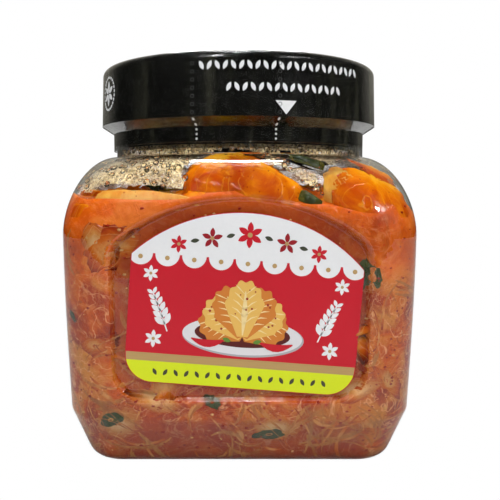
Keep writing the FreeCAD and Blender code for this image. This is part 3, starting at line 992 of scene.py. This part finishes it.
def sprig(x, y, side, layer):
    """A stem with paired leaves that leans away from the middle."""
    stem = [(x + side * 0.9 * step, y + 2.4 * step - 0.05 * step * step) for step in range(7)]
    stroke("white", stem, 0.45, layer)
    for step, (a, b) in enumerate(stem[1:], 1):
        for lean in (38, -42):
            turn = 90 - side * (22 + lean)
            size = 4.6 - 0.35 * step
            angle = math.radians(turn)
            leaf_mark("white", a + size * 0.5 * math.cos(angle), b + size * 0.5 * math.sin(angle), size, turn, layer)


def band(colour, low, high):
    """Queues a straight band of one ink right across the label."""
    ink(colour, [(-BEYOND, low), (BEYOND, low), (BEYOND, high), (-BEYOND, high)], 1)


def build_print():
    """A made-up label: pale arch with scallops, a fan of cabbage leaves in the middle, lime foot."""
    hem = [(-BEYOND, 14.2)]
    for step in range(9):
        hem += arc(-36.0 + 9.0 * step, 14.2, 4.1, 180, 360, 18)
        ink("gold", arc(-36.0 + 9.0 * step, 12.9, 0.8, 0, 340, 12), 3)
    ink("white", hem + [(BEYOND, 14.2), (BEYOND, BEYOND), (-BEYOND, BEYOND)], 1)
    band("gold", -22.6, -19.8)
    band("lime", -BEYOND, -22.6)
    # blossoms and buds on the arch
    blossom(0, 22.6, 4.2, 6, "red", "gold", 3)
    for side in (-1, 1):
        blossom(side * 12.5, 20.6, 3.4, 5, "deep_red", "gold", 3)
        blossom(side * 23.5, 17.9, 2.8, 6, "red", "gold", 3)
        for x, y, turn in ((6.4, 21.9, 20), (18.2, 19.4, 12)):
            leaf_mark("ink_black", side * x, y, 3.0, -side * turn, 3)
    # sprigs either side of the fan
    for side in (-1, 1):
        sprig(side * 25.5, -12.0, side, 3)
        blossom(side * 32.2, 7.4, 2.6, 6, "white", "gold", 3)
        blossom(side * 30.0, -14.8, 2.9, 6, "white", "gold", 3)
    build_fan()
    # foot
    for step in range(17):
        leaf_mark("ink_black", -28.8 + 3.6 * step, -26.2, 2.6, 60 if step % 2 else -60, 3)


def build_fan():
    """Cabbage leaves spread over a low round dish, with two chillies."""
    ink("dish_shade", arc(0.3, -12.2, 20.6, 0, 355, 60, 0.33), 5)
    ink("dish", arc(0, -11.8, 20.3, 0, 355, 60, 0.32), 6)
    ink("sauce", arc(0, -11.2, 16.2, 0, 355, 54, 0.28), 8)
    pick = random.Random(21)
    for order, turn in enumerate((-66, 66, -46, 46, -24, 24, 0)):
        c, s = cos_sin(turn)
        length, width = 19.5 - abs(turn) * 0.05, 6.4

        def place(a, b):
            return (a * c + b * s, -12.0 + b * c - a * s)

        edge = []
        for step in range(41):
            t = math.pi * (step / 40)
            frill = 1 + 0.06 * math.sin(11 * t + order)
            edge.append(place(width * frill * math.cos(t), length * (0.52 + 0.46 * math.sin(t) * frill)))
        outline = [place(1.8, 0)] + edge + [place(-1.8, 0)]
        middle = place(0, length * 0.5)
        layer = 9 + 3 * order
        colour = "food_gold" if order in (2, 3, 6) else "food_orange"
        for spot in range(len(outline)):
            ink(colour, [middle, outline[spot], outline[(spot + 1) % len(outline)]], layer)
        stroke("food_pale", [place(0, 0.5), place(0.2, length * 0.4), place(0, length * 0.8)], 2.2, layer + 1, True)
        for rib in range(5):
            for side in (-1, 1):
                start = length * (0.22 + 0.13 * rib)
                tip = place(side * (4.6 - 0.3 * rib), start + 3.2)
                stroke("food_pale", [place(0, start), place(side * 2.4, start + 2.3), tip], 0.45, layer + 1, True)
        for _ in range(7):
            a, b = pick.uniform(-3.6, 3.6), length * pick.uniform(0.35, 0.85)
            x, y = place(a, b)
            ink("food_red", arc(x, y, pick.uniform(0.25, 0.5), 0, 320, 8), layer + 2)
    for side in (-1, 1):
        bow = [(side * (6 + 1.6 * step), -13.6 - 1.5 * math.sin(math.pi * step / 7)) for step in range(8)]
        stroke("red", bow, 2.6, 31, True)
        leaf_mark("food_green", side * 5.2, -13.4, 3.0, 90 - side * 75, 32)


def build_back_print():
    """The back label: a red head, thin rules and a ruled box, with nothing written."""
    band("red", 12.0, BEYOND)
    band("gold", 10.6, 12.0)
    band("lime", -BEYOND, -25.6)
    for step in range(7):
        x = -24.0 + 8.0 * step
        blossom(x, 18.6 - 0.004 * x ** 2, 3.0, 6, "white", "gold", 3)
    for row in range(12):
        end, y = -3.0 if row % 4 == 3 else 2.0, 7.2 - 2.4 * row
        stroke("ink_black", [(-33.0, y), (-15.0, y), (end, y)], 0.5, 3)
    for colour, x0, y0, x1, y1, layer in (
        ("ink_black", 7.0, -20.0, 33.0, 7.6, 2),
        ("white", 7.4, -19.6, 32.6, 7.2, 3),
    ):
        ink(colour, [(x0, y0), (x1, y0), (x1, y1), (x0, y1)], layer)
    for row in range(6):
        stroke("ink_black", [(9.0, 3.2 - 3.9 * row), (31.0, 3.2 - 3.9 * row)], 0.35, 5)


def back_point(u, v, lift):
    """A point u across and v up on the back label, seen from behind."""
    return Vector((-u, back_high.y + lift, (back_low.z + back_high.z) / 2 + v))


def lay_print(point, name):
    """Makes one thin piece of each ink from the queued shapes, then empties the queue."""
    for colour, shapes in PRINT.items():
        verts, faces = [], []
        for polygon, layer in shapes:
            base = len(verts)
            size = len(polygon)
            low, high = layer * PRINT_LAYER - 4e-6, layer * PRINT_LAYER + 3e-6
            verts += [point(u * MM, v * MM, low) for u, v in polygon]
            verts += [point(u * MM, v * MM, high) for u, v in polygon]
            close_prism(faces, base, size)
        piece = mesh_object(name + colour, verts, faces, False)
        finish_piece(piece, ink_material(colour, INKS[colour]))
    PRINT.clear()


# ---- print on the shrink band
def film_point(angle, z, lift):
    """A place on the band's drum, lift off its face."""
    share = (z - RIM_Z) / (CAP_TOP - 2.6 * MM - RIM_Z)
    radius = (CAP_R + (CAP_TOP_R - CAP_R) * share) + 0.26 * MM + lift
    angle = math.radians(angle)
    return Vector((radius * math.sin(angle), -radius * math.cos(angle), z))


def film_shape(store, polygon, x_angle, z_mid):
    """Adds a printed shape, in millimetres round x_angle and z_mid, bent round the band."""
    verts, faces = store
    scale = math.degrees(MM / (CAP_R + 0.3 * MM))
    base, size = len(verts), len(polygon)
    for lift in (0.01 * MM, 0.05 * MM):
        verts += [film_point(x_angle + u * scale, z_mid + v * MM, lift) for u, v in polygon]
    close_prism(faces, base, size)


def build_film_print():
    store = ([], [])

    def leaf(x, y, size, turn, angle, z):
        film_shape(store, leaf_shape(x, y, size, turn, 0.22, 8), angle, z)

    for step in range(23):
        leaf(-30.0 + 2.75 * step, 0, 3.3, 65 if step % 2 else 115, 17.2, RIM_Z + 16.8 * MM)
    for step in range(16):
        leaf(-20.4 + 2.75 * step, 0, 3.3, 115 if step % 2 else 65, 17.0, RIM_Z + 9.6 * MM)
    film_shape(store, [(-3.8, 2.3), (0.0, -2.3), (3.8, 2.3)], 16.2, RIM_Z + 2.9 * MM)
    for turn in range(24):
        start, end = math.radians(15 * turn), math.radians(15 * turn + 10)
        corners = ((6.4, start), (6.4, end), (5.6, end), (5.6, start))
        dash = [(reach * math.cos(t), reach * math.sin(t)) for reach, t in corners]
        film_shape(store, dash, ROSETTE, RIM_Z + 11.2 * MM)
    for turn in (90, 30, -30, -90, -150, 150):
        c, s = cos_sin(turn)
        leaf(2.6 * c, 2.6 * s, 4.2, turn, ROSETTE, RIM_Z + 11.2 * MM)
    piece = mesh_object("band_print", store[0], store[1], False)
    finish_piece(piece, ink_material("band_white", (0.78, 0.78, 0.77)))


# ---- build
build_studio()
for node, material in (
    ("jar", clear_plastic()),
    ("cap", cap_material()),
    ("shrink_band", film_material()),
    ("label_front", ink_material("label_red", INKS["red"])),
    ("label_back", ink_material("label_back", INKS["white"])),
):
    nodes[node].data.materials.clear()
    nodes[node].data.materials.append(material)
build_tear_dots()
build_kimchi()
build_leaves()
build_flakes()
build_drops()
build_print()
lay_print(label_point, "label_ink_")
build_back_print()
lay_print(back_point, "back_ink_")
build_film_print()
